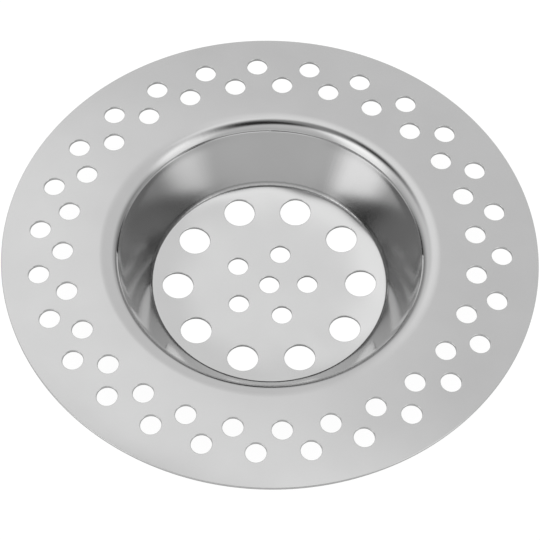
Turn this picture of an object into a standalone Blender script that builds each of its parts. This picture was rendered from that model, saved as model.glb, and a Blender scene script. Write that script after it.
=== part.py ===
"""Drain protector: one punched and deep-drawn sheet of stainless steel.

A floor that turns up slightly towards its edge, a tapered wall and a slightly domed flange,
all in one thickness of sheet.
The part stands on its floor: the origin is the centre of the floor's underside, +Z is up,
and the flange's outer row of holes has one hole on +X. Lengths are in metres.
"""

import bmesh
import bpy
from math import asin, cos, pi, radians, sin, tan
from mathutils import Matrix

# The sheet, and the size of the whole
SHEET_THICKNESS = 0.0004
FLANGE_RADIUS = 0.0375
BOWL_DEPTH = 0.0084

# The bowl, all radii measured on the upper face of the sheet
FLOOR_FLAT_RADIUS = 0.0112
DISH_RADIUS = 0.020
DISH_TURN = radians(15.0)
FLOOR_FILLET_RADIUS = 0.0007
WALL_LEAN = radians(35.6)
SHOULDER_RADIUS = 0.0025
LEAD_IN_RADIUS = 0.007
LEAD_IN_TURN = radians(9.0)

# The flange turns over its crest and then falls away to the rim as a wide dome
CREST_TURN = radians(2.2)
DOME_RADIUS = 0.1055

# The flange's two staggered rows of holes, placed between the crest and the rim
FLANGE_HOLE_RADIUS = 0.00145
HOLES_PER_ROW = 27
OUTER_ROW_SHARE = 0.617
INNER_ROW_SHARE = 0.360

# The floor's holes: a ring of large ones, a ring of small ones and one in the centre
LARGE_HOLE_RADIUS = 0.00216
LARGE_HOLE_COUNT = 10
LARGE_HOLE_MARGIN = 0.00138
SMALL_HOLE_RADIUS = 0.00142
SMALL_HOLE_COUNT = 5
SMALL_RING_SHARE = 0.417

# Facets
TURN_STEPS = 3 * HOLES_PER_ROW
LEAD_IN_STEPS = 2
CREST_STEPS = 1
SHOULDER_STEPS = 4
FILLET_STEPS = 3
DISH_STEPS = 3
SMALL_HOLE_SIDES = 16
LARGE_HOLE_SIDES = 20
SHARP_EDGE = radians(35.0)
CUT_OVERRUN = 0.0005

# Places that follow from the sizes above; a slope is the angle that the face falls towards the axis
WALL_SLOPE = pi / 2 - WALL_LEAN
FLOOR_Z = SHEET_THICKNESS
DISH_EDGE_RADIUS = FLOOR_FLAT_RADIUS + DISH_RADIUS * sin(DISH_TURN)
DISH_EDGE_Z = FLOOR_Z + DISH_RADIUS * (1 - cos(DISH_TURN))
FILLET_TOP_RADIUS = DISH_EDGE_RADIUS + FLOOR_FILLET_RADIUS * (sin(WALL_SLOPE) - sin(DISH_TURN))
FILLET_TOP_Z = DISH_EDGE_Z + FLOOR_FILLET_RADIUS * (cos(DISH_TURN) - cos(WALL_SLOPE))
CREST_Z = FLOOR_Z + BOWL_DEPTH
LEAD_IN_DROP = LEAD_IN_RADIUS * (1 - cos(LEAD_IN_TURN))
SHOULDER_DROP = SHOULDER_RADIUS * (cos(LEAD_IN_TURN) - cos(WALL_SLOPE))
WALL_TOP_Z = CREST_Z - LEAD_IN_DROP - SHOULDER_DROP
WALL_TOP_RADIUS = FILLET_TOP_RADIUS + (WALL_TOP_Z - FILLET_TOP_Z) * tan(WALL_LEAN)
LEAD_IN_END_RADIUS = WALL_TOP_RADIUS + SHOULDER_RADIUS * (sin(WALL_SLOPE) - sin(LEAD_IN_TURN))
CREST_RADIUS = LEAD_IN_END_RADIUS + LEAD_IN_RADIUS * sin(LEAD_IN_TURN)
CREST_END_RADIUS = CREST_RADIUS + LEAD_IN_RADIUS * sin(CREST_TURN)
CREST_END_Z = CREST_Z - LEAD_IN_RADIUS * (1 - cos(CREST_TURN))
FLANGE_WIDTH = FLANGE_RADIUS - CREST_RADIUS
OUTER_ROW_RADIUS = CREST_RADIUS + OUTER_ROW_SHARE * FLANGE_WIDTH
INNER_ROW_RADIUS = CREST_RADIUS + INNER_ROW_SHARE * FLANGE_WIDTH
LARGE_RING_RADIUS = DISH_EDGE_RADIUS - LARGE_HOLE_MARGIN - LARGE_HOLE_RADIUS
SMALL_RING_RADIUS = SMALL_RING_SHARE * LARGE_RING_RADIUS
HOLE_PITCH = 2 * pi / HOLES_PER_ROW
# One hole of each floor ring and one of the inner row lie on this line through the centre
PATTERN_LINE = (HOLES_PER_ROW // 5 + 0.5) * HOLE_PITCH


def clear_scene():
    for old in list(bpy.data.objects):
        bpy.data.objects.remove(old, do_unlink=True)


def dome_slope(radius):
    """The flange's slope at a radius, negative because it falls outwards."""
    return -asin(sin(CREST_TURN) + (radius - CREST_END_RADIUS) / DOME_RADIUS)


def dome_height(radius):
    return CREST_END_Z - DOME_RADIUS * (cos(CREST_TURN) - cos(dome_slope(radius)))


def floor_slope(radius):
    return asin(max(radius - FLOOR_FLAT_RADIUS, 0) / DISH_RADIUS)


def floor_height(radius):
    return FLOOR_Z + DISH_RADIUS * (1 - cos(floor_slope(radius)))


def arc(centre_radius, centre_z, radius, start, end, steps):
    """Points (radius, height, slope) on a convex arc, or on a concave one if radius is negative."""
    points = []
    for step in range(steps + 1):
        slope = start + (end - start) * step / steps
        points.append((centre_radius - radius * sin(slope), centre_z + radius * cos(slope), slope))
    return points


def upper_face_profile():
    """The sheet's upper face from the rim inwards to the edge of the floor's flat middle."""
    inner_land = (CREST_RADIUS + INNER_ROW_RADIUS - FLANGE_HOLE_RADIUS) / 2
    between_rows = (INNER_ROW_RADIUS + OUTER_ROW_RADIUS) / 2
    outer_land = (OUTER_ROW_RADIUS + FLANGE_HOLE_RADIUS + FLANGE_RADIUS) / 2
    flange = [(r, dome_height(r), dome_slope(r))
              for r in (FLANGE_RADIUS, outer_land, between_rows, inner_land)]
    crest = arc(CREST_RADIUS, CREST_Z - LEAD_IN_RADIUS, LEAD_IN_RADIUS, -CREST_TURN, 0, CREST_STEPS)
    lead_in = arc(CREST_RADIUS, CREST_Z - LEAD_IN_RADIUS, LEAD_IN_RADIUS,
                  0, LEAD_IN_TURN, LEAD_IN_STEPS)
    shoulder = arc(LEAD_IN_END_RADIUS + SHOULDER_RADIUS * sin(LEAD_IN_TURN),
                   CREST_Z - LEAD_IN_DROP - SHOULDER_RADIUS * cos(LEAD_IN_TURN),
                   SHOULDER_RADIUS, LEAD_IN_TURN, WALL_SLOPE, SHOULDER_STEPS)
    fillet = arc(DISH_EDGE_RADIUS - FLOOR_FILLET_RADIUS * sin(DISH_TURN),
                 DISH_EDGE_Z + FLOOR_FILLET_RADIUS * cos(DISH_TURN),
                 -FLOOR_FILLET_RADIUS, WALL_SLOPE, DISH_TURN, FILLET_STEPS)
    dish = arc(FLOOR_FLAT_RADIUS, FLOOR_Z + DISH_RADIUS, -DISH_RADIUS, DISH_TURN, 0, DISH_STEPS)
    return flange + crest + lead_in[1:] + shoulder[1:] + fillet + dish[1:]


def through_sheet(point):
    """The point of the lower face straight under a point of the upper face."""
    radius, height, slope = point
    return (radius + SHEET_THICKNESS * sin(slope), height - SHEET_THICKNESS * cos(slope))


def sheet_mesh():
    """Spin the closed outline of the sheet round the axis and fill the floor's two faces."""
    upper = upper_face_profile()
    outline = [through_sheet(p) for p in reversed(upper)] + [(r, z) for r, z, _ in upper]
    bm = bmesh.new()
    verts = [bm.verts.new((r, 0, z)) for r, z in outline]
    edges = [bm.edges.new(pair) for pair in zip(verts, verts[1:])]
    bmesh.ops.spin(bm, geom=verts + edges, cent=(0, 0, 0), axis=(0, 0, 1), angle=2 * pi,
                   steps=TURN_STEPS, use_merge=True)
    open_edges = [edge for edge in bm.edges if edge.is_boundary]
    bmesh.ops.holes_fill(bm, edges=open_edges, sides=0)
    bmesh.ops.recalc_face_normals(bm, faces=bm.faces)
    mesh = bpy.data.meshes.new("strainer")
    bm.to_mesh(mesh)
    bm.free()
    mesh.shade_smooth()
    mesh.set_sharp_from_angle(angle=SHARP_EDGE)
    return mesh


def hole_frame(radius, angle, height, slope):
    """Put a hole's axis at a place on the sheet's mid-plane, square to the sheet."""
    return (Matrix.Rotation(angle, 4, "Z") @ Matrix.Translation((radius, 0, height))
            @ Matrix.Rotation(-slope, 4, "Y"))


def flange_holes():
    """Frame, hole radius and number of sides of each hole in the flange."""
    holes = []
    for row_radius, row_turn in ((OUTER_ROW_RADIUS, 0), (INNER_ROW_RADIUS, HOLE_PITCH / 2)):
        slope = dome_slope(row_radius)
        middle = dome_height(row_radius) - SHEET_THICKNESS / 2
        for index in range(HOLES_PER_ROW):
            frame = hole_frame(row_radius, row_turn + index * HOLE_PITCH, middle, slope)
            holes.append((frame, FLANGE_HOLE_RADIUS, SMALL_HOLE_SIDES))
    return holes


def floor_holes():
    """Frame, hole radius and number of sides of each hole in the floor."""
    rings = ((LARGE_RING_RADIUS, LARGE_HOLE_COUNT, LARGE_HOLE_RADIUS, LARGE_HOLE_SIDES),
             (SMALL_RING_RADIUS, SMALL_HOLE_COUNT, SMALL_HOLE_RADIUS, SMALL_HOLE_SIDES),
             (0, 1, SMALL_HOLE_RADIUS, SMALL_HOLE_SIDES))
    holes = []
    for ring_radius, count, hole_radius, sides in rings:
        slope = floor_slope(ring_radius)
        middle = floor_height(ring_radius) - SHEET_THICKNESS / 2
        for index in range(count):
            angle = PATTERN_LINE + index * 2 * pi / count
            frame = hole_frame(ring_radius, angle, middle, slope)
            holes.append((frame, hole_radius, sides))
    return holes


def punches_mesh(holes):
    """One closed prism for each hole, reaching past both faces of the sheet."""
    bm = bmesh.new()
    for frame, radius, sides in holes:
        half_side = Matrix.Rotation(pi / sides, 4, "Z")
        bmesh.ops.create_cone(bm, cap_ends=True, segments=sides, radius1=radius, radius2=radius,
                              depth=SHEET_THICKNESS + 2 * CUT_OVERRUN, matrix=frame @ half_side)
    mesh = bpy.data.meshes.new("hole_punches")
    bm.to_mesh(mesh)
    bm.free()
    return mesh


def satin_steel():
    material = bpy.data.materials.new("satin_stainless_steel")
    material.use_nodes = True
    shader = material.node_tree.nodes["Principled BSDF"]
    shader.inputs["Base Color"].default_value = (0.62, 0.62, 0.62, 1.0)
    shader.inputs["Metallic"].default_value = 1.0
    shader.inputs["Roughness"].default_value = 0.3
    return material


def add_object(name, mesh):
    obj = bpy.data.objects.new(name, mesh)
    bpy.context.scene.collection.objects.link(obj)
    return obj


def build():
    clear_scene()
    strainer = add_object("strainer", sheet_mesh())
    strainer.data.materials.append(satin_steel())
    punches = add_object("hole_punches", punches_mesh(flange_holes() + floor_holes()))
    punches.hide_render = True
    punches.display_type = "WIRE"
    punches.parent = strainer
    cut = strainer.modifiers.new("punched_holes", "BOOLEAN")
    cut.operation = "DIFFERENCE"
    cut.solver = "EXACT"
    cut.object = punches


build()
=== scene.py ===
"""The looks of the drain protector: its one pressed and punched sheet as a fine mesh, in satin
stainless steel, with a white studio round it and the camera.

Lengths are in metres, in the frame's axes: the origin is the centre of the floor's underside and
+Z is up. A slope is the angle that a face falls towards the axis.
"""

from math import atan, cos, pi, radians, sin, tan

import bpy
import numpy as np
from mathutils import Matrix, Vector


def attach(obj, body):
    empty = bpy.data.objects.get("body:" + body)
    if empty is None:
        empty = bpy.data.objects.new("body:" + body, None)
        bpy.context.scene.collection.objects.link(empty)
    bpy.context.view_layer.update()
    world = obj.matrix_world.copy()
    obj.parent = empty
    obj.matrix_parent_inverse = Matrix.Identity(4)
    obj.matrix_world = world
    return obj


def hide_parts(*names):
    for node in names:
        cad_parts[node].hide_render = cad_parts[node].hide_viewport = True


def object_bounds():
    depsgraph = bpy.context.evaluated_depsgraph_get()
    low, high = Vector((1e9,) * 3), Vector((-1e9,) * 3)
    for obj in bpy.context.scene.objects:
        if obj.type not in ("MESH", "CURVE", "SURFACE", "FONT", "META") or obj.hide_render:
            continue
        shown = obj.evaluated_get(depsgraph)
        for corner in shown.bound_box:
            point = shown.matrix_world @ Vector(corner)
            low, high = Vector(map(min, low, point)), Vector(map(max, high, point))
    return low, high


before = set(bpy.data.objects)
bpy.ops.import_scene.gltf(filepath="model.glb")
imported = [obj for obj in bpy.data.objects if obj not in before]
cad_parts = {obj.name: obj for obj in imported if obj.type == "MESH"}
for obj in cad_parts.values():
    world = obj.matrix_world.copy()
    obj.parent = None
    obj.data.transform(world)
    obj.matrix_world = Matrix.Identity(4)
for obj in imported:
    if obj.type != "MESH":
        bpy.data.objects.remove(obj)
cad_low, cad_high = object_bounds()

# The sheet; its rim and its top come from the frame
SHEET_THICKNESS = 0.0004
RIM_RADIUS = min(-cad_low.x, cad_high.x, -cad_low.y, cad_high.y)
CREST_Z = cad_high.z
FLOOR_Z = SHEET_THICKNESS

# The bowl, all radii measured on the upper face of the sheet. The dish and the fillet place the foot
# of the wall and the rings of holes, and the floor's own rise is set further down.
FLOOR_FLAT_RADIUS = 0.0112
DISH_RADIUS = 0.020
DISH_TURN = radians(15.0)
FLOOR_FILLET_RADIUS = 0.0007
WALL_LEAN = radians(35.4)
WALL_BOW = radians(1.5)
SHOULDER_RADIUS = 0.0025
LEAD_IN_RADIUS = 0.005
LEAD_IN_TURN = radians(9.0)

# The flange turns over its crest and then falls away to the rim as a wide dome
CREST_TURN = radians(1.8)
DOME_RADIUS = 0.108

# The two staggered rows of holes in the flange
FLANGE_HOLE_RADIUS = 0.00145
HOLES_PER_ROW = 27
OUTER_ROW_SHARE = 0.625
INNER_ROW_SHARE = 0.375

# The holes in the floor. A large and a small one lie in line with one hole of the flange's inner row,
# which is given by its number, counted from 0.
PATTERN_HOLE = 5
LARGE_HOLE_RADIUS = 0.00216
LARGE_HOLE_COUNT = 10
LARGE_HOLE_MARGIN = 0.00138
SMALL_HOLE_RADIUS = 0.00142
SMALL_HOLE_COUNT = 5
SMALL_RING_SHARE = 0.417

# A punched edge is rolled in by the punch above and broken off below
EDGE_REACH = 0.0001
ROLL_DEPTH = 0.0001
BREAK_DEPTH = 0.00003

# The floor is almost flat at the large holes and turns up late. It starts to rise later at a large hole
# than between two of them, and its rise ends a little past the corner, below the wall.
RISE_START_RADIUS = 0.0080
FLAT_RIPPLE = 0.0011
FLOOR_RISE = 0.00055
FLOOR_RISE_POWER = 4.0
RISE_LIMIT_SHARE = 1.08

# The corner between the floor and the wall: how far it is rounded off, and how far the mesh's fine
# rings reach on either side of it
CORNER_BLEND = 0.00012
CORNER_REACH = 0.0002

# The step that the edge of the drawing tool leaves at the top of the wall: its height, where on the
# wall it starts and ends, and how late in between it comes
STEP_HEIGHT = 0.00012
STEP_START_SHARE = 0.68
STEP_END_SHARE = 0.99
STEP_POWER = 3

# Slow waves that pressing leaves in the flange: the height of the largest and, for each, its share of
# that height, the waves in a turn and the waves to the rim
WAVE_HEIGHT = 0.000008
FLANGE_WAVE_SHARES = ((1.0, 5, 0.6), (0.75, 8, -1.1), (0.5, 13, 1.7))

# Places that follow from the sizes above
WALL_SLOPE = pi / 2 - WALL_LEAN
WALL_FOOT_SLOPE = WALL_SLOPE + WALL_BOW
WALL_HEAD_SLOPE = atan(2 * tan(WALL_SLOPE) - tan(WALL_FOOT_SLOPE))
DISH_EDGE_RADIUS = FLOOR_FLAT_RADIUS + DISH_RADIUS * sin(DISH_TURN)
DISH_RISE = DISH_RADIUS * (1 - cos(DISH_TURN))
DISH_EDGE_Z = FLOOR_Z + DISH_RISE
FILLET_TOP_RADIUS = DISH_EDGE_RADIUS + FLOOR_FILLET_RADIUS * (sin(WALL_FOOT_SLOPE) - sin(DISH_TURN))
FILLET_TOP_Z = DISH_EDGE_Z + FLOOR_FILLET_RADIUS * (cos(DISH_TURN) - cos(WALL_FOOT_SLOPE))
LEAD_IN_DROP = LEAD_IN_RADIUS * (1 - cos(LEAD_IN_TURN))
SHOULDER_DROP = SHOULDER_RADIUS * (cos(LEAD_IN_TURN) - cos(WALL_HEAD_SLOPE))
WALL_TOP_Z = CREST_Z - LEAD_IN_DROP - SHOULDER_DROP
WALL_TOP_RADIUS = FILLET_TOP_RADIUS + (WALL_TOP_Z - FILLET_TOP_Z) * tan(WALL_LEAN)
LEAD_IN_END_RADIUS = WALL_TOP_RADIUS + SHOULDER_RADIUS * (sin(WALL_HEAD_SLOPE) - sin(LEAD_IN_TURN))
SHOULDER_MIDDLE_RADIUS = (WALL_TOP_RADIUS + LEAD_IN_END_RADIUS) / 2
CREST_RADIUS = LEAD_IN_END_RADIUS + LEAD_IN_RADIUS * sin(LEAD_IN_TURN)
CREST_END_RADIUS = CREST_RADIUS + LEAD_IN_RADIUS * sin(CREST_TURN)
CREST_END_Z = CREST_Z - LEAD_IN_RADIUS * (1 - cos(CREST_TURN))
FLANGE_WIDTH = RIM_RADIUS - CREST_RADIUS
OUTER_ROW_RADIUS = CREST_RADIUS + OUTER_ROW_SHARE * FLANGE_WIDTH
INNER_ROW_RADIUS = CREST_RADIUS + INNER_ROW_SHARE * FLANGE_WIDTH
CORNER_RADIUS = FILLET_TOP_RADIUS - (FILLET_TOP_Z - FLOOR_Z - FLOOR_RISE) / tan(WALL_FOOT_SLOPE)
LARGE_RING_RADIUS = DISH_EDGE_RADIUS - LARGE_HOLE_MARGIN - LARGE_HOLE_RADIUS
SMALL_RING_RADIUS = SMALL_RING_SHARE * LARGE_RING_RADIUS
HOLE_PITCH = 2 * pi / HOLES_PER_ROW
PATTERN_LINE = (PATTERN_HOLE + 0.5) * HOLE_PITCH

# Rings of the mesh: the band of cells round each row of holes, and the points on a ring
CELL_MARGIN = 0.0005
SMALL_CELL_MARGIN = 0.0009
RING_POINTS = 10 * HOLES_PER_ROW
MIDDLE_POINTS = RING_POINTS // 3
CELL_SIDE_STEPS = 8
LARGE_CELL_SIDE_STEPS = 12
CELL_BLEND_SHARES = (0.3, 0.6, 0.82)
RIM_STEPS = 8
BACK_STEPS = 5
CREST_STEPS = 3
LEAD_IN_STEPS = 8
SHOULDER_STEPS = 14
WALL_STEPS = 10
STEP_STEPS = 8
CORNER_STEPS = 14
DISH_STEPS = 5
MIDDLE_STEPS = 4
ROLL_STEPS = 4
BREAK_STEPS = 2
SLOPE_PROBE = 2e-7

# The order of the mesh's materials
SATIN = 0
CUT = 1


def dish_start(angle):
    """Where the floor starts to rise: late at a large hole and early between two of them."""
    return RISE_START_RADIUS + FLAT_RIPPLE * np.cos(LARGE_HOLE_COUNT * (angle - PATTERN_LINE))


def smooth_maximum(first, second):
    """The higher of two heights, with the corner where they cross rounded off."""
    apart = first - second
    return (first + second + np.sqrt(apart ** 2 + CORNER_BLEND ** 2)) / 2


def flange_waves(radius, angle):
    """Slow waves of the flange, growing from nothing at the crest."""
    reach = np.clip((radius - CREST_RADIUS) / FLANGE_WIDTH, 0, 1)
    waves = 0 * radius
    for share, turns, lean in FLANGE_WAVE_SHARES:
        waves = waves + share * WAVE_HEIGHT * np.sin(turns * angle + 2 * pi * lean * reach)
    return waves * reach * (2 - reach)


def upper_height(x, y):
    """Height of the sheet's upper face over a place, for arrays of places."""
    radius = np.hypot(x, y)
    angle = np.arctan2(y, x)
    start = dish_start(angle)
    climb = np.clip((radius - start) / (CORNER_RADIUS - start), 0, RISE_LIMIT_SHARE)
    floor = FLOOR_Z + FLOOR_RISE * climb ** FLOOR_RISE_POWER
    width = WALL_TOP_RADIUS - FILLET_TOP_RADIUS
    along = (radius - FILLET_TOP_RADIUS) / width
    step = np.clip((along - STEP_START_SHARE) / (STEP_END_SHARE - STEP_START_SHARE), 0, 1) ** STEP_POWER
    wall = FILLET_TOP_Z + width * along * (tan(WALL_FOOT_SLOPE) * (1 - along) + tan(WALL_SLOPE) * along)
    wall = wall + STEP_HEIGHT * (step * step * (3 - 2 * step) - along)
    bowl = smooth_maximum(floor, wall)
    shoulder_radius = LEAD_IN_END_RADIUS + SHOULDER_RADIUS * sin(LEAD_IN_TURN)
    shoulder_z = CREST_Z - LEAD_IN_DROP - SHOULDER_RADIUS * cos(LEAD_IN_TURN)
    across = np.clip((radius - shoulder_radius) / SHOULDER_RADIUS, -1, 1)
    shoulder = shoulder_z + SHOULDER_RADIUS * np.sqrt(1 - across ** 2)
    across = np.clip((radius - CREST_RADIUS) / LEAD_IN_RADIUS, -1, 1)
    crest = CREST_Z - LEAD_IN_RADIUS * (1 - np.sqrt(1 - across ** 2))
    across = np.clip(sin(CREST_TURN) + (radius - CREST_END_RADIUS) / DOME_RADIUS, -1, 1)
    dome = CREST_END_Z - DOME_RADIUS * (cos(CREST_TURN) - np.sqrt(1 - across ** 2))
    limits = (WALL_TOP_RADIUS, LEAD_IN_END_RADIUS, CREST_END_RADIUS)
    height = np.select([radius <= limit for limit in limits], [bowl, shoulder, crest], dome)
    return height + flange_waves(radius, angle)


def upper_normals(x, y):
    """Unit normals of the upper face, from the slopes between close places."""
    step = SLOPE_PROBE
    along_x = (upper_height(x + step, y) - upper_height(x - step, y)) / (2 * step)
    along_y = (upper_height(x, y + step) - upper_height(x, y - step)) / (2 * step)
    normals = np.stack([-along_x, -along_y, np.ones_like(x)], axis=1)
    return normals / np.linalg.norm(normals, axis=1, keepdims=True)


class PlanMesh:
    """Points and faces of one side of the sheet, drawn in plan, with the loops of its openings."""

    def __init__(self):
        self.points = []
        self.faces = []
        self.openings = []

    def add(self, points):
        first = len(self.points)
        self.points.extend(points)
        return list(range(first, len(self.points)))

    def ring(self, radius, count=RING_POINTS, turn=0.0):
        angles = [turn + 2 * pi * index / count for index in range(count)]
        return self.add([(radius * cos(a), radius * sin(a)) for a in angles])

    def band(self, outer, inner):
        """Quads between two closed loops of as many points, both running anticlockwise."""
        count = len(outer)
        for index in range(count):
            after = (index + 1) % count
            self.faces.append((outer[index], outer[after], inner[after], inner[index]))

    def thinning_band(self, outer, inner):
        """A band from a ring to one with a third of its points."""
        for index in range(len(inner)):
            first, second, third = outer[3 * index:3 * index + 3]
            fourth = outer[(3 * index + 3) % len(outer)]
            near, far = inner[index], inner[(index + 1) % len(inner)]
            self.faces.append((first, second, near))
            self.faces.append((second, third, far, near))
            self.faces.append((third, fourth, far))

    def cells(self, outer, inner, count, first, side_steps, hole):
        """A band split into cells, each with a round hole: hole is (ring radius, angle, radius)."""
        ring_radius, first_angle, hole_radius = hole
        per_cell = len(outer) // count
        sides = []
        for cell in range(count):
            corner = (first + cell * per_cell) % len(outer)
            out_end, in_end = np.array(self.points[outer[corner]]), np.array(self.points[inner[corner]])
            shares = np.arange(1, side_steps) / side_steps
            sides.append(self.add([tuple(out_end + share * (in_end - out_end)) for share in shares]))
        for cell in range(count):
            arc = [(first + cell * per_cell + step) % len(outer) for step in range(per_cell + 1)]
            border = [outer[k] for k in arc] + sides[(cell + 1) % count]
            border += [inner[k] for k in reversed(arc)] + list(reversed(sides[cell]))
            centre_angle = first_angle + 2 * pi * cell / count
            self.cell(border, ring_radius, centre_angle, hole_radius, per_cell)

    def cell(self, border, ring_radius, centre_angle, hole_radius, per_cell):
        """Rings of quads that blend from the border of a cell to the edge of its hole."""
        centre = ring_radius * np.array([cos(centre_angle), sin(centre_angle)])
        turns = centre_angle + 2 * pi * (np.arange(len(border)) - per_cell / 2) / len(border)
        edge = centre + hole_radius * np.stack([np.cos(turns), np.sin(turns)], axis=1)
        border_points = np.array([self.points[k] for k in border])
        loop = border
        for share in CELL_BLEND_SHARES + (1.0,):
            blended = self.add([tuple(p) for p in border_points + share * (edge - border_points)])
            self.band(loop, blended)
            loop = blended
        self.openings.append((loop, tuple(centre)))


def profile_radii():
    """Ring radii from the inner cells of the flange down to the cells of the floor."""
    flat_end = INNER_ROW_RADIUS - FLANGE_HOLE_RADIUS - CELL_MARGIN
    radii = list(np.linspace(flat_end, CREST_END_RADIUS, BACK_STEPS + 1)[1:])
    radii += list(np.linspace(CREST_END_RADIUS, CREST_RADIUS, CREST_STEPS + 1)[1:])
    for step in range(1, LEAD_IN_STEPS + 1):
        radii.append(CREST_RADIUS - LEAD_IN_RADIUS * sin(LEAD_IN_TURN * step / LEAD_IN_STEPS))
    shoulder_radius = LEAD_IN_END_RADIUS + SHOULDER_RADIUS * sin(LEAD_IN_TURN)
    for step in range(1, SHOULDER_STEPS + 1):
        slope = LEAD_IN_TURN + (WALL_HEAD_SLOPE - LEAD_IN_TURN) * step / SHOULDER_STEPS
        radii.append(shoulder_radius - SHOULDER_RADIUS * sin(slope))
    step_foot = FILLET_TOP_RADIUS + STEP_START_SHARE * (WALL_TOP_RADIUS - FILLET_TOP_RADIUS)
    radii += list(np.linspace(WALL_TOP_RADIUS, step_foot, STEP_STEPS + 1)[1:])
    wall_foot, dish_end = CORNER_RADIUS + CORNER_REACH, CORNER_RADIUS - CORNER_REACH
    radii += list(np.linspace(step_foot, wall_foot, WALL_STEPS + 1)[1:])
    radii += list(np.linspace(wall_foot, dish_end, CORNER_STEPS + 1)[1:])
    floor_cells = LARGE_RING_RADIUS + LARGE_HOLE_RADIUS + CELL_MARGIN
    return radii + list(np.linspace(dish_end, floor_cells, DISH_STEPS + 1)[1:])


def draw_plan():
    """One side of the sheet in plan; the first ring is its outer edge."""
    plan = PlanMesh()
    half_step = pi / RING_POINTS
    reach = FLANGE_HOLE_RADIUS + CELL_MARGIN
    loop = plan.ring(RIM_RADIUS - EDGE_REACH)
    plan.openings.append((loop, None))
    for radius in np.linspace(RIM_RADIUS - EDGE_REACH, OUTER_ROW_RADIUS + reach, RIM_STEPS + 1)[1:]:
        inner = plan.ring(radius)
        plan.band(loop, inner)
        loop = inner
    half_cell = RING_POINTS // HOLES_PER_ROW // 2
    between = plan.ring((INNER_ROW_RADIUS + OUTER_ROW_RADIUS) / 2)
    inner = plan.ring(INNER_ROW_RADIUS - reach)
    edge_radius = FLANGE_HOLE_RADIUS + EDGE_REACH
    plan.cells(loop, between, HOLES_PER_ROW, -half_cell, CELL_SIDE_STEPS,
               (OUTER_ROW_RADIUS, 0, edge_radius))
    plan.cells(between, inner, HOLES_PER_ROW, 0, CELL_SIDE_STEPS,
               (INNER_ROW_RADIUS, HOLE_PITCH / 2, edge_radius))
    loop = inner
    for radius in profile_radii():
        inner = plan.ring(radius, turn=half_step if radius < WALL_TOP_RADIUS - CELL_MARGIN else 0)
        plan.band(loop, inner)
        loop = inner
    draw_floor(plan, loop, half_step)
    return plan


def draw_floor(plan, loop, turn):
    """The floor's cells: a ring of large holes, a ring of small ones and the centre hole."""
    per_cell = RING_POINTS // LARGE_HOLE_COUNT
    first = round((PATTERN_LINE - turn) / (2 * pi) * RING_POINTS - per_cell / 2)
    inner = plan.ring(LARGE_RING_RADIUS - LARGE_HOLE_RADIUS - CELL_MARGIN, turn=turn)
    plan.cells(loop, inner, LARGE_HOLE_COUNT, first, LARGE_CELL_SIDE_STEPS,
               (LARGE_RING_RADIUS, PATTERN_LINE, LARGE_HOLE_RADIUS + EDGE_REACH))
    loop = inner
    middle_turn = 2 * turn
    small_reach = SMALL_HOLE_RADIUS + SMALL_CELL_MARGIN
    inner = plan.ring(SMALL_RING_RADIUS + small_reach, MIDDLE_POINTS, middle_turn)
    plan.thinning_band(loop, inner)
    loop = inner
    per_cell = MIDDLE_POINTS // SMALL_HOLE_COUNT
    first = round((PATTERN_LINE - middle_turn) / (2 * pi) * MIDDLE_POINTS - per_cell / 2)
    inner = plan.ring(SMALL_RING_RADIUS - small_reach, MIDDLE_POINTS, middle_turn)
    plan.cells(loop, inner, SMALL_HOLE_COUNT, first, CELL_SIDE_STEPS,
               (SMALL_RING_RADIUS, PATTERN_LINE, SMALL_HOLE_RADIUS + EDGE_REACH))
    loop = inner
    edge = SMALL_HOLE_RADIUS + EDGE_REACH
    for radius in np.linspace(SMALL_RING_RADIUS - small_reach, edge, MIDDLE_STEPS + 1)[1:]:
        inner = plan.ring(radius, MIDDLE_POINTS, middle_turn)
        plan.band(loop, inner)
        loop = inner
    plan.openings.append((loop, (0.0, 0.0)))


def edge_stages():
    """(reach left, depth, turn) of the loops that go over a cut edge, from the upper face down."""
    stages = []
    for step in range(1, ROLL_STEPS + 1):
        turn = pi / 2 * step / ROLL_STEPS
        stages.append((EDGE_REACH * sin(turn), ROLL_DEPTH * (1 - cos(turn)), turn))
    for step in range(BREAK_STEPS):
        turn = pi / 2 * (1 + step / BREAK_STEPS)
        stages.append((EDGE_REACH * sin(turn), SHEET_THICKNESS - BREAK_DEPTH * (1 + cos(turn)), turn))
    return stages


def sheet_mesh():
    """Both sides of the sheet and its cut edges as one closed mesh, with its true normals."""
    plan = draw_plan()
    side = len(plan.points)
    places = list(plan.points) * 2
    depths = [0.0] * side + [SHEET_THICKNESS] * side
    turns = [0.0] * side + [pi] * side
    ways = [(0.0, 0.0)] * (2 * side)
    faces = list(plan.faces) + [tuple(k + side for k in reversed(face)) for face in plan.faces]
    finishes = [SATIN] * len(faces)
    for loop, centre in plan.openings:
        points = np.array([plan.points[k] for k in loop])
        outward = points / np.linalg.norm(points, axis=1, keepdims=True)
        if centre is not None:
            outward = np.array(centre) - points
            outward /= np.linalg.norm(outward, axis=1, keepdims=True)
        upper = loop
        for stage, (reach, depth, turn) in enumerate(edge_stages()):
            lower = list(range(len(places), len(places) + len(loop)))
            places.extend(tuple(p) for p in points + reach * outward)
            depths.extend([depth] * len(loop))
            turns.extend([turn] * len(loop))
            ways.extend(tuple(way) for way in outward)
            faces.extend(edge_faces(upper, lower, centre is None))
            finishes.extend([SATIN if stage < ROLL_STEPS else CUT] * len(loop))
            upper = lower
        faces.extend(edge_faces(upper, [k + side for k in loop], centre is None))
        finishes.extend([CUT] * len(loop))
    mesh = raise_mesh(np.array(places), np.array(depths), np.array(turns), np.array(ways), faces)
    mesh.polygons.foreach_set("material_index", finishes)
    return mesh


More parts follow.
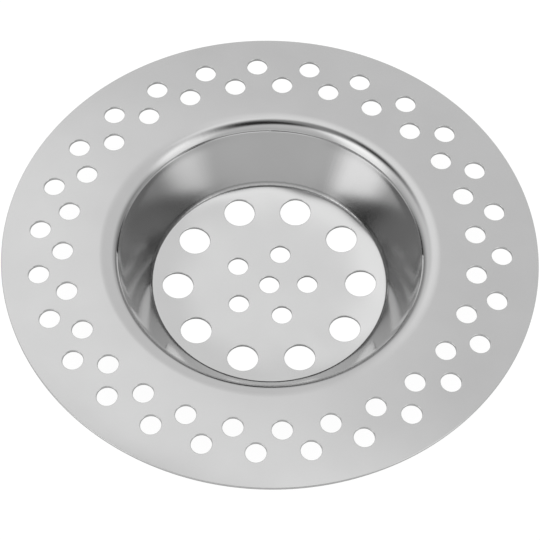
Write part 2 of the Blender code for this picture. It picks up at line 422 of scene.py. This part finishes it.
def edge_faces(upper, lower, is_rim):
    """Quads down a cut edge; the rim faces away from its loop's inside and a hole faces into it."""
    faces = []
    for index in range(len(upper)):
        after = (index + 1) % len(upper)
        quad = (upper[index], upper[after], lower[after], lower[index])
        faces.append(tuple(reversed(quad)) if is_rim else quad)
    return faces


def raise_mesh(places, depths, turns, ways, faces):
    """Lift the plan to the sheet's faces and give each point its normal."""
    x, y = places[:, 0], places[:, 1]
    up = upper_normals(x, y)
    upper = np.stack([x, y, upper_height(x, y)], axis=1)
    points = upper - depths[:, None] * up
    way = np.concatenate([ways, np.zeros((len(ways), 1))], axis=1)
    way -= np.sum(way * up, axis=1, keepdims=True) * up
    length = np.linalg.norm(way, axis=1, keepdims=True)
    way = np.divide(way, length, out=np.zeros_like(way), where=length > 0)
    normals = np.cos(turns)[:, None] * up + np.sin(turns)[:, None] * way
    mesh = bpy.data.meshes.new("pressed_sheet")
    mesh.from_pydata(points.tolist(), [], faces)
    mesh.validate()
    mesh.shade_smooth()
    mesh.normals_split_custom_set_from_vertices(normals.tolist())
    return mesh


class Nodes:
    """Adds shader nodes to a tree and links them."""

    def __init__(self, tree):
        self.tree = tree

    def add(self, kind, links=(), **values):
        node = self.tree.nodes.new(kind)
        for name, value in values.items():
            setattr(node, name, value)
        for socket, source in dict(links).items():
            if isinstance(source, bpy.types.NodeSocket):
                self.link(source, node.inputs[socket])
            else:
                node.inputs[socket].default_value = source
        return node

    def link(self, source, socket):
        self.tree.links.new(source, socket)

    def math(self, operation, first, second=0.0):
        return self.add("ShaderNodeMath", {0: first, 1: second}, operation=operation).outputs[0]

    def vector(self, operation, first, second=(0, 0, 0)):
        """A sum with vectors; a length and a dot product are numbers, and the rest are vectors."""
        node = self.add("ShaderNodeVectorMath", {0: first, 1: second}, operation=operation)
        return node.outputs["Value" if operation in ("LENGTH", "DOT_PRODUCT") else "Vector"]

    def noise(self, place, scale, detail):
        sources = {"Vector": place, "Scale": scale, "Detail": detail}
        return self.add("ShaderNodeTexNoise", sources).outputs["Fac"]

    def smooth(self, value, low, high, to_low=0.0, to_high=1.0):
        """Map a value from low..high to to_low..to_high along a soft curve."""
        sources = {"Value": value, "From Min": low, "From Max": high,
                   "To Min": to_low, "To Max": to_high}
        node = self.add("ShaderNodeMapRange", sources, interpolation_type="SMOOTHSTEP")
        return node.outputs["Result"]


# How light and how rough the steel is on the floor, the wall and the flange. The three greys differ
# in part as the steel's own tone and in part as painted light and shade, the wall darkest
FLOOR_GREY = 0.465
WALL_GREY = 0.31
FLANGE_GREY = 0.41
FLOOR_ROUGHNESS = 0.16
WALL_ROUGHNESS = 0.15
FLANGE_ROUGHNESS = 0.14

# Slow shades and a fine grain all over it: how close they lie, the detail of their noise, the shares of
# the noise's range between which they vary, and by how much
SHADES_PER_METRE = 120.0
SHADE_DETAIL = 3.0
SHADE_NOISE_SHARES = (0.25, 0.75)
SHADE_VARIATION = 0.02
GRAIN_PER_METRE = 9000.0
GRAIN_DETAIL = 2.0
GRAIN_NOISE_SHARES = (0.2, 0.8)
GRAIN_HEIGHT = 0.0000004
ROUGHNESS_VARIATION = 0.02

# Lines that drawing leaves down the shoulder and the wall, and how far they take to fade beyond them
LINE_DETAIL = 2.0
DRAW_LINES_PER_TURN = 300.0
DRAW_LINES_ALONG_PER_METRE = 150.0
DRAW_LINE_HEIGHT = 0.000003
DRAW_FADE = 0.0012

# Two thin lines of painted shade in the colour, one in the corner and one a little way up the wall,
# where real shade would fall in a fine crease: how far they lie from the corner, their half width,
# the reach of their soft edges and the share of the light that they take
FLOOR_CREASE_OFFSET = -0.00001
WALL_CREASE_OFFSET = 0.00034
CREASE_HALF_WIDTH = 0.00007
CREASE_EDGE = 0.00006
FLOOR_CREASE_PAINTED_SHADE = 0.75
WALL_CREASE_PAINTED_SHADE = 0.3

# Nicks across the corner, where the edge of the punch scraped the sheet; they also make the lines of painted
# shade ragged
NICKS_PER_TURN = 900.0
NICKS_ALONG_PER_METRE = 1800.0
NICK_REACH = 0.0008
NICK_DEPTH = 0.000008
NICK_NOISE_SHARES = (0.3, 0.7)
CREASE_RAGGEDNESS = 0.00005

# The broken edge that punching leaves; in the floor's holes its grey is darker as painted shade, where the
# floor rests on the ground
FLANGE_CUT_GREY = 0.33
FLOOR_CUT_PAINTED_SHADE_GREY = 0.16
CUT_ROUGHNESS = 0.45
CUT_GRAIN_HEIGHT = 0.000003


def in_plan(nodes, place):
    """A place as seen in plan, without its height."""
    return nodes.vector("MULTIPLY", place, (1, 1, 0))


def plan_radius(nodes, place):
    """Distance of a place from the axis."""
    return nodes.vector("LENGTH", in_plan(nodes, place))


def along_sheet(nodes, radius, floor, wall, flange):
    """A value that goes from the floor's to the wall's at the corner, and to the flange's higher up."""
    inner = nodes.smooth(radius, DISH_EDGE_RADIUS, FILLET_TOP_RADIUS, floor, wall)
    outer = nodes.smooth(radius, WALL_TOP_RADIUS, SHOULDER_MIDDLE_RADIUS, 0.0, flange - wall)
    return nodes.math("ADD", inner, outer)


def bare_metal(name):
    """A new metal material, with the builder of its nodes and its shader."""
    material = bpy.data.materials.new(name)
    material.use_nodes = True
    shader = material.node_tree.nodes["Principled BSDF"]
    shader.inputs["Metallic"].default_value = 1.0
    return material, Nodes(material.node_tree), shader


def colour_grey(nodes, shader, grey):
    """Colour a shader with a grey that changes from place to place."""
    colour = nodes.add("ShaderNodeCombineColor", {"Red": grey, "Green": grey, "Blue": grey})
    nodes.link(colour.outputs["Color"], shader.inputs["Base Color"])


def satin_steel():
    """Satin stainless steel: fine grain everywhere, drawing lines on the shoulder and the wall, and painted
    shade in two thin lines at the foot of the wall.
    """
    material, nodes, shader = bare_metal("satin_stainless_steel")
    place = nodes.add("ShaderNodeTexCoord").outputs["Object"]
    radius = plan_radius(nodes, place)
    shades = nodes.noise(place, SHADES_PER_METRE, SHADE_DETAIL)
    grain = nodes.noise(place, GRAIN_PER_METRE, GRAIN_DETAIL)
    shade = nodes.smooth(shades, *SHADE_NOISE_SHARES, 1 - SHADE_VARIATION, 1 + SHADE_VARIATION)
    # The grey changes from floor to wall to flange, in part as painted light and shade
    grey = nodes.math("MULTIPLY", shade, along_sheet(nodes, radius, FLOOR_GREY, WALL_GREY, FLANGE_GREY))
    nicks = around_axis(nodes, place, radius, NICKS_PER_TURN, NICKS_ALONG_PER_METRE)
    # The grey takes the painted shade of two thin lines at the foot of the wall
    colour_grey(nodes, shader, nodes.math("MULTIPLY", grey, painted_crease_shade(nodes, radius, nicks)))
    unevenness = nodes.smooth(grain, *GRAIN_NOISE_SHARES, -ROUGHNESS_VARIATION, ROUGHNESS_VARIATION)
    roughness = along_sheet(nodes, radius, FLOOR_ROUGHNESS, WALL_ROUGHNESS, FLANGE_ROUGHNESS)
    nodes.link(nodes.math("ADD", roughness, unevenness), shader.inputs["Roughness"])
    grain_bump = nodes.add("ShaderNodeBump", {"Height": grain, "Distance": GRAIN_HEIGHT})
    lines_bump = nodes.add("ShaderNodeBump", {"Height": draw_lines(nodes, place, radius),
                                              "Distance": DRAW_LINE_HEIGHT,
                                              "Normal": grain_bump.outputs["Normal"]})
    nick_height = nodes.math("MULTIPLY", nicks, nick_band(nodes, radius))
    nicks_bump = nodes.add("ShaderNodeBump", {"Height": nick_height, "Distance": NICK_DEPTH,
                                              "Normal": lines_bump.outputs["Normal"]})
    nodes.link(nicks_bump.outputs["Normal"], shader.inputs["Normal"])
    return material


def around_axis(nodes, place, radius, per_turn, along_per_metre):
    """Noise that changes quickly round the axis and slowly along the sheet."""
    way = nodes.vector("NORMALIZE", in_plan(nodes, place))
    round_axis = nodes.add("ShaderNodeVectorMath", {0: way, "Scale": per_turn / (2 * pi)},
                           operation="SCALE")
    along = nodes.add("ShaderNodeCombineXYZ", {"Z": nodes.math("MULTIPLY", radius, along_per_metre)})
    spot = nodes.vector("ADD", round_axis.outputs["Vector"], along.outputs["Vector"])
    return nodes.noise(spot, 1.0, LINE_DETAIL)


def draw_lines(nodes, place, radius):
    """Fine lines that run down the shoulder and the wall, where the sheet slid over the tool."""
    lines = around_axis(nodes, place, radius, DRAW_LINES_PER_TURN, DRAW_LINES_ALONG_PER_METRE)
    outer = nodes.smooth(radius, CREST_RADIUS, CREST_RADIUS + DRAW_FADE, 1.0, 0.0)
    inner = nodes.smooth(radius, DISH_EDGE_RADIUS - DRAW_FADE, DISH_EDGE_RADIUS)
    return nodes.math("MULTIPLY", lines, nodes.math("MULTIPLY", outer, inner))


def ring_mask(nodes, radius, middle, reach, edge):
    """One on a ring round the axis, fading to nothing over its soft edges."""
    inner = nodes.smooth(radius, middle - reach - edge, middle - reach + edge)
    outer = nodes.smooth(radius, middle + reach - edge, middle + reach + edge, 1.0, 0.0)
    return nodes.math("MULTIPLY", inner, outer)


def nick_band(nodes, radius):
    """The band round the corner that has nicks."""
    return ring_mask(nodes, radius, CORNER_RADIUS, NICK_REACH / 2, NICK_REACH / 2)


def painted_crease_shade(nodes, radius, nicks):
    """The share of the light that two ragged lines of painted shade leave in the colour."""
    wander = nodes.smooth(nicks, *NICK_NOISE_SHARES, -CREASE_RAGGEDNESS / 2, CREASE_RAGGEDNESS / 2)
    ragged_radius = nodes.math("ADD", radius, wander)
    floor_shade_line = (FLOOR_CREASE_OFFSET, FLOOR_CREASE_PAINTED_SHADE)
    wall_shade_line = (WALL_CREASE_OFFSET, WALL_CREASE_PAINTED_SHADE)
    left = 1.0
    for offset, share in (floor_shade_line, wall_shade_line):
        ring = ring_mask(nodes, ragged_radius, CORNER_RADIUS + offset, CREASE_HALF_WIDTH, CREASE_EDGE)
        left = nodes.math("MULTIPLY", left, nodes.math("SUBTRACT", 1.0, nodes.math("MULTIPLY", ring, share)))
    return left


def cut_steel():
    """The sheet's cut edge: duller and darker, with the fine grain of broken metal, and darker still in the
    floor's holes as painted shade.
    """
    material, nodes, shader = bare_metal("cut_stainless_steel")
    shader.inputs["Roughness"].default_value = CUT_ROUGHNESS
    place = nodes.add("ShaderNodeTexCoord").outputs["Object"]
    # Darker towards the floor: painted shade in the holes where the floor rests on the ground
    grey = nodes.smooth(plan_radius(nodes, place), DISH_EDGE_RADIUS, CREST_RADIUS,
                        FLOOR_CUT_PAINTED_SHADE_GREY, FLANGE_CUT_GREY)
    colour_grey(nodes, shader, grey)
    grain = nodes.noise(place, GRAIN_PER_METRE, GRAIN_DETAIL)
    bump = nodes.add("ShaderNodeBump", {"Height": grain, "Distance": CUT_GRAIN_HEIGHT})
    nodes.link(bump.outputs["Normal"], shader.inputs["Normal"])
    return material


def add_strainer():
    strainer = bpy.data.objects.new("pressed_sheet", sheet_mesh())
    bpy.context.scene.collection.objects.link(strainer)
    strainer.data.materials.append(satin_steel())
    strainer.data.materials.append(cut_steel())
    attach(strainer, "root")
    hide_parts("strainer")


# The camera. Its azimuth turns anticlockwise from +X, seen from above, and its aim is given as it sees
# it: aside, nearer to it and higher than the origin.
CAMERA_AZIMUTH = radians(268.795)
CAMERA_ELEVATION = radians(56.527)
CAMERA_ROLL = radians(1.534)
CAMERA_DISTANCE = 0.5794
AIM_ASIDE = 0.00004
AIM_NEARER = 0.00281
AIM_HEIGHT = 0.00836
LENS_MM = 278.3
SENSOR_MM = 36.0


def add_camera():
    """The camera of the photograph: far off, with a long lens, above and in front."""
    data = bpy.data.cameras.new("camera")
    data.lens = LENS_MM
    data.sensor_width = SENSOR_MM
    camera = bpy.data.objects.new("camera", data)
    bpy.context.scene.collection.objects.link(camera)
    heading = Matrix.Rotation(CAMERA_AZIMUTH + pi / 2, 4, "Z")
    aim = heading @ Vector((AIM_ASIDE, -AIM_NEARER, AIM_HEIGHT))
    camera.matrix_world = (Matrix.Translation(aim) @ heading
                           @ Matrix.Rotation(pi / 2 - CAMERA_ELEVATION, 4, "X")
                           @ Matrix.Rotation(CAMERA_ROLL, 4, "Z")
                           @ Matrix.Translation((0, 0, CAMERA_DISTANCE)))
    bpy.context.scene.camera = camera


# The studio's light: a plain level all round, and soft oval panels that add to it or, with a strength
# below zero, screen it off. Each is (azimuth, elevation, half width, half height, strength), with
# angles in degrees and azimuths anticlockwise from the camera's right.
PLAIN_LEVEL = 1.2
DARKEST_LEVEL = 0.02
PANEL_SOFTNESS = 0.5
PANELS = {
    "overhead_softbox": (120, 65, 15, 35, 0.4),
    "left_softbox": (210, 20, 15, 60, 1.2),
    "right_softbox": (330, 35, 15, 35, 1.0),
    "camera_screen": (240, 80, 35, 15, -1.5),
    "left_screen": (150, -10, 60, 20, -0.5),
    "right_screen": (0, -5, 45, 25, -0.6),
}


def studio_axes(azimuth, elevation):
    """Unit vectors along a panel's width and height and towards it, from angles in degrees."""
    turn = radians(azimuth) + CAMERA_AZIMUTH + pi / 2
    height = radians(elevation)
    towards = Vector((cos(height) * cos(turn), cos(height) * sin(turn), sin(height)))
    level = Vector((sin(turn), -cos(turn), 0))
    return level, level.cross(towards), towards


def add_panel(nodes, direction, panel):
    """What one soft oval panel adds to the level in a direction."""
    azimuth, elevation, half_width, half_height, strength = panel
    wide, high, towards = studio_axes(azimuth, elevation)
    across = nodes.math("DIVIDE", nodes.vector("DOT_PRODUCT", direction, wide), sin(radians(half_width)))
    up = nodes.math("DIVIDE", nodes.vector("DOT_PRODUCT", direction, high), sin(radians(half_height)))
    away = nodes.math("SQRT", nodes.math("ADD", nodes.math("MULTIPLY", across, across),
                                         nodes.math("MULTIPLY", up, up)))
    oval = nodes.smooth(away, 1 - PANEL_SOFTNESS, 1 + PANEL_SOFTNESS, strength, 0.0)
    facing = nodes.math("GREATER_THAN", nodes.vector("DOT_PRODUCT", direction, towards), 0.0)
    return nodes.math("MULTIPLY", oval, facing)


def add_world():
    """Soft panels all round for the steel to reflect, and plain white behind it for the camera."""
    world = bpy.data.worlds.new("studio")
    bpy.context.scene.world = world
    world.use_nodes = True
    tree = world.node_tree
    tree.nodes.clear()
    nodes = Nodes(tree)
    direction = nodes.add("ShaderNodeTexCoord").outputs["Generated"]
    level = PLAIN_LEVEL
    for panel in PANELS.values():
        level = nodes.math("ADD", level, add_panel(nodes, direction, panel))
    level = nodes.math("MAXIMUM", level, DARKEST_LEVEL)
    studio = nodes.add("ShaderNodeBackground", {"Color": (1, 1, 1, 1), "Strength": level})
    white = nodes.add("ShaderNodeBackground", {"Color": (1, 1, 1, 1), "Strength": 1.0})
    seen = nodes.add("ShaderNodeLightPath").outputs["Is Camera Ray"]
    mixed = nodes.add("ShaderNodeMixShader", {0: seen, 1: studio.outputs[0], 2: white.outputs[0]})
    nodes.add("ShaderNodeOutputWorld", {"Surface": mixed.outputs[0]})


# The studio's floor: its side, its gap to the object, the white that it shows by itself, the share of
# the light that shows on it and that a shadow takes away, and the share that it throws on the object
FLOOR_SIZE = 3.0
FLOOR_CLEARANCE = 0.00002
WHITE_LEVEL = 0.94
SHADOW_SHARE = 0.10
BOUNCE_SHARE = 0.8


def add_floor():
    """A white floor that keeps a faint shadow of the object."""
    half = FLOOR_SIZE / 2
    mesh = bpy.data.meshes.new("studio_floor")
    corners = [(x * half, y * half, -FLOOR_CLEARANCE) for x, y in ((-1, -1), (1, -1), (1, 1), (-1, 1))]
    mesh.from_pydata(corners, [], [(0, 1, 2, 3)])
    floor = bpy.data.objects.new("studio_floor", mesh)
    bpy.context.scene.collection.objects.link(floor)
    material = bpy.data.materials.new("studio_white")
    material.use_nodes = True
    tree = material.node_tree
    tree.nodes.clear()
    nodes = Nodes(tree)
    path = nodes.add("ShaderNodeLightPath")
    seen = nodes.math("MAXIMUM", path.outputs["Is Camera Ray"],
                      nodes.math("MAXIMUM", path.outputs["Is Glossy Ray"],
                                 path.outputs["Is Transmission Ray"]))
    paint = nodes.add("ShaderNodeBsdfDiffuse", {"Color": (BOUNCE_SHARE, BOUNCE_SHARE, BOUNCE_SHARE, 1)})
    shaded = nodes.add("ShaderNodeBsdfDiffuse", {"Color": (SHADOW_SHARE, SHADOW_SHARE, SHADOW_SHARE, 1)})
    glow = nodes.add("ShaderNodeEmission", {"Color": (1, 1, 1, 1), "Strength": WHITE_LEVEL})
    white = nodes.add("ShaderNodeAddShader", {0: shaded.outputs[0], 1: glow.outputs[0]})
    mixed = nodes.add("ShaderNodeMixShader", {0: seen, 1: paint.outputs[0], 2: white.outputs[0]})
    nodes.add("ShaderNodeOutputMaterial", {"Surface": mixed.outputs[0]})
    mesh.materials.append(material)


add_strainer()
add_camera()
add_world()
add_floor()
bpy.context.scene.view_settings.view_transform = "Standard"
